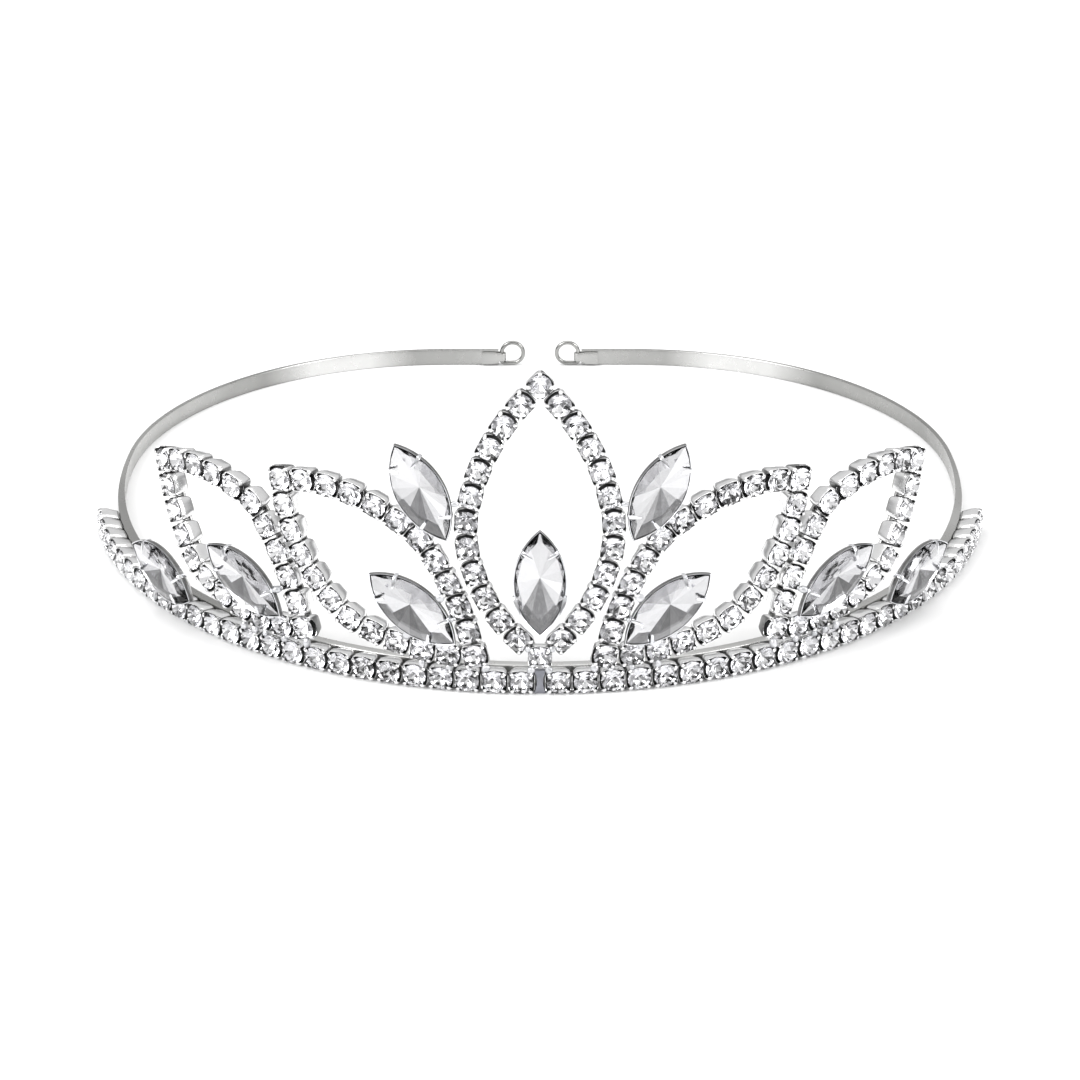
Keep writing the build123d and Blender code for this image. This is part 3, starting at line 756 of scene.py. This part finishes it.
def strip_section(thickness, height, radius=0.16, steps=4):
    """Rounded rectangle: (outwards, up), with the faintest swell on both faces."""
    ring = []
    right, top = thickness - radius, height - radius
    corners = ((right, top, 0), (radius, top, 90), (radius, radius, 180), (right, radius, 270))
    for cx, cz, start in corners:
        for step in range(steps + 1):
            angle = math.radians(start + 90 * step / steps)
            ring.append((cx + radius * math.cos(angle), cz + radius * math.sin(angle)))
        swells = [(share, math.sin(math.pi * share)) for share in FACE_SHARES]
        if start == 90:
            ring += [(-0.03 * swell, top - (height - 2 * radius) * share)
                     for share, swell in swells]
        if start == 270:
            ring += [(thickness + 0.02 * swell, radius + (height - 2 * radius) * share)
                     for share, swell in swells]
    return ring


def rolled_end(mirror):
    """The folded and rolled end of the strip: mirror is 1 for the left end and -1 for the right."""
    path = [(x, eye_y + behind) for x, behind, _ in FLAP_START]
    heights = [span for _, _, span in FLAP_START]
    for degrees in range(75, -91, -15):
        angle = math.radians(degrees)
        path.append((-EYE_X + ROLL_RADIUS * math.cos(angle), eye_y + ROLL_RADIUS * math.sin(angle)))
        heights.append(ROLL_HEIGHTS)
    for x, low, high in FLAP_END:
        path.append((x, eye_y - FLAP_OFFSET))
        heights.append((low, high))
    path = np.array(path)
    rings = []
    for point, (low, high), (_, across) in zip(path, heights, directions(path)):
        ring = []
        for out, up in strip_section(FLAP_THICKNESS, high - low, 0.12, 3):
            x, y = point + across * (out - FLAP_THICKNESS / 2)
            ring.append((mirror * x, y, low + up))
        rings.append(np.array(ring))
    return skin(rings)


stations = band_stations()
eye_y = stations[-1][0][1]
run = eye_y - INNER_FRONT_Y
rings = []
for mirror in (1, -1):
    order = reversed(stations) if mirror == 1 else stations[1:]
    for place, radial, thickness in order:
        height = FRONT_HEIGHT - HEIGHT_LOSS * (place[1] - INNER_FRONT_Y) / run
        ring = []
        for out, up in strip_section(thickness, height):
            x, y = place + radial * out
            ring.append((mirror * x, y, up))
        rings.append(np.array(ring))
band = Piece()
band.add(skin(rings))
for mirror in (1, -1):
    band.add(rolled_end(mirror))
band.finish("headband_strip", [band_silver], "headband", "band_steel", angle=40)

# ---- End loops ----
WIRE_RADIUS = 0.345


def loop_path():
    """The wire's centre line (x from the pivot, z): a straight leg with a round bow beside it."""
    low, radius, corner, bend, top_turn = 0.4, 1.87, 0.45, 1.72, math.radians(30)
    centre_z = low + radius
    top_z = centre_z + radius * math.sin(top_turn)
    leg_top = top_z - bend * math.sin(top_turn)
    top_x = bend * (1 - math.cos(top_turn))
    centre_x = top_x + radius * math.cos(top_turn)
    path = []
    for step in range(6):
        path.append((0.0, leg_top + (low + corner - leg_top) * step / 5))
    for step in range(1, 7):
        angle = math.pi + math.pi / 2 * step / 6
        path.append((corner + corner * math.cos(angle), low + corner + corner * math.sin(angle)))
    for step in range(41):
        angle = -math.pi / 2 + (math.pi / 2 + math.pi - top_turn) * step / 40
        path.append((centre_x + radius * math.cos(angle), centre_z + radius * math.sin(angle)))
    for step in range(1, 10):
        angle = top_turn * (1 - step / 10)
        path.append((bend * (1 - math.cos(angle)), leg_top + bend * math.sin(angle)))
    return np.array(path)


path = loop_path()
for side, sign in (("left", -1), ("right", 1)):
    rings = []
    for i in range(len(path)):
        ahead = path[(i + 1) % len(path)] - path[i - 1]
        ahead = ahead / np.linalg.norm(ahead)
        ring = []
        for angle in np.linspace(0, 2 * math.pi, 18, endpoint=False):
            off = WIRE_RADIUS * math.cos(angle)
            x = path[i][0] - ahead[1] * off
            z = path[i][1] + ahead[0] * off
            ring.append((sign * EYE_X - sign * x, eye_y + WIRE_RADIUS * math.sin(angle), z))
        rings.append(np.array(ring))
    rings.append(rings[0])
    wire = Piece()
    wire.add(skin(rings, closed=False))
    wire.finish(f"end_loop_{side}_wire", [wire_silver], f"end_loop_{side}", "wire",
                body=f"loop_body_{side}", angle=60)


# ---- Solder ----
def blob(points):
    """A lumpy bead in the place of one solder solid."""
    levels, sides, shrink = 8, 14, 0.98
    centre = (points.max(0) + points.min(0)) / 2
    half = (points.max(0) - points.min(0)) / 2
    rings = []
    for level in range(1, levels):
        polar = math.pi * level / levels
        ring = []
        for angle in np.linspace(0, 2 * math.pi, sides, endpoint=False):
            wobble = 1 + 0.08 * math.sin(3 * angle + 2 * polar + centre[0])
            wobble += 0.05 * math.sin(5 * angle - centre[2])
            flat = math.sin(polar)
            unit = np.array([flat * math.cos(angle), flat * math.sin(angle), math.cos(polar)])
            ring.append(centre + unit * half * shrink * wobble)
        rings.append(np.array(ring))
    return skin(rings)


for side in ("left", "right"):
    for kind in ("row_solder", "petal_solder"):
        node = f"{kind}_{side}"
        beads = Piece()
        for points, _ in read_solids(node):
            beads.add(blob(points))
        beads.finish(node + "_beads", [solder_silver], node, "solder", angle=60)

# The link plate's CAD shape is right, so it only gets its material.
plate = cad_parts["row_link_plate"]
plate.data.materials.clear()
plate.data.materials.append(link_silver)

# ---- Floor, light and camera, in metres ----
FLOOR_REACH = 4.0
FLOOR_DROP = 0.00002
LIGHT_TARGET = (0.0, -0.01, 0.02)
WORLD_STRENGTH = 0.8
# (height on the sky, colour): a darker belt just above the horizon gives the metal contrast
SKY = [(0.0, (0.7, 0.7, 0.71)), (0.06, 0.38), (0.16, 0.46), (0.3, 0.9), (1.0, (1.0, 1.0, 0.99))]
CAMERA_LENS, CAMERA_SENSOR = 147.8, 36.0
CAMERA_DISTANCE = 0.7
CAMERA_ELEVATION = math.radians(23.96)
AIM_BEHIND_FRONT = 55.7 * MM

floor_material, tree, shader = new_material("pale_floor")
floor_tone = ramp(tree, noise(tree, 3.0), [(0.3, (0.90, 0.90, 0.905)), (0.7, 0.93)])
tree.links.new(floor_tone, shader.inputs["Base Color"])
shader.inputs["Roughness"].default_value = 0.75
floor_mesh = bpy.data.meshes.new("floor")
corners = [(FLOOR_REACH * x, FLOOR_REACH * y, 0) for x, y in ((-1, -1), (1, -1), (1, 1), (-1, 1))]
floor_mesh.from_pydata(corners, [], [[0, 1, 2, 3]])
floor_mesh.materials.append(floor_material)
floor = bpy.data.objects.new("floor", floor_mesh)
floor.location.z = -FLOOR_DROP
bpy.context.scene.collection.objects.link(floor)


def aim(thing, place, target):
    thing.location = place
    thing.rotation_euler = (Vector(target) - Vector(place)).to_track_quat("-Z", "Y").to_euler()
    bpy.context.scene.collection.objects.link(thing)


def softbox(name, place, size, power):
    light = bpy.data.lights.new(name, "AREA")
    light.shape = "RECTANGLE"
    light.size, light.size_y = size
    light.energy = power
    aim(bpy.data.objects.new(name, light), place, LIGHT_TARGET)


softbox("key_left", (-0.75, -0.55, 0.75), (0.6, 0.6), 8.5)
softbox("fill_right", (0.85, -0.45, 0.55), (0.4, 0.6), 5.0)
softbox("overhead", (0.0, 0.15, 1.1), (1.2, 0.8), 4.0)

world = bpy.data.worlds.new("studio")
world.use_nodes = True
bpy.context.scene.world = world
tree = world.node_tree
tree.nodes.clear()
output = tree.nodes.new("ShaderNodeOutputWorld")
background = tree.nodes.new("ShaderNodeBackground")
tree.links.new(background.outputs["Background"], output.inputs["Surface"])
direction = tree.nodes.new("ShaderNodeTexCoord")
split = tree.nodes.new("ShaderNodeSeparateXYZ")
tree.links.new(direction.outputs["Generated"], split.inputs["Vector"])
tree.links.new(ramp(tree, split.outputs["Z"], SKY), background.inputs["Color"])
background.inputs["Strength"].default_value = WORLD_STRENGTH
bpy.context.scene.view_settings.view_transform = "Standard"

camera_data = bpy.data.cameras.new("camera")
camera_data.sensor_width = CAMERA_SENSOR
camera_data.lens = CAMERA_LENS
camera_data.clip_start = 0.01
camera = bpy.data.objects.new("camera", camera_data)
target = Vector((0.0, (WALL_AXIS_Y - WALL_RADIUS) * MM + AIM_BEHIND_FRONT, 0.0))
backwards = Vector((0, -math.cos(CAMERA_ELEVATION), math.sin(CAMERA_ELEVATION)))
aim(camera, target + CAMERA_DISTANCE * backwards, target)
bpy.context.scene.camera = camera
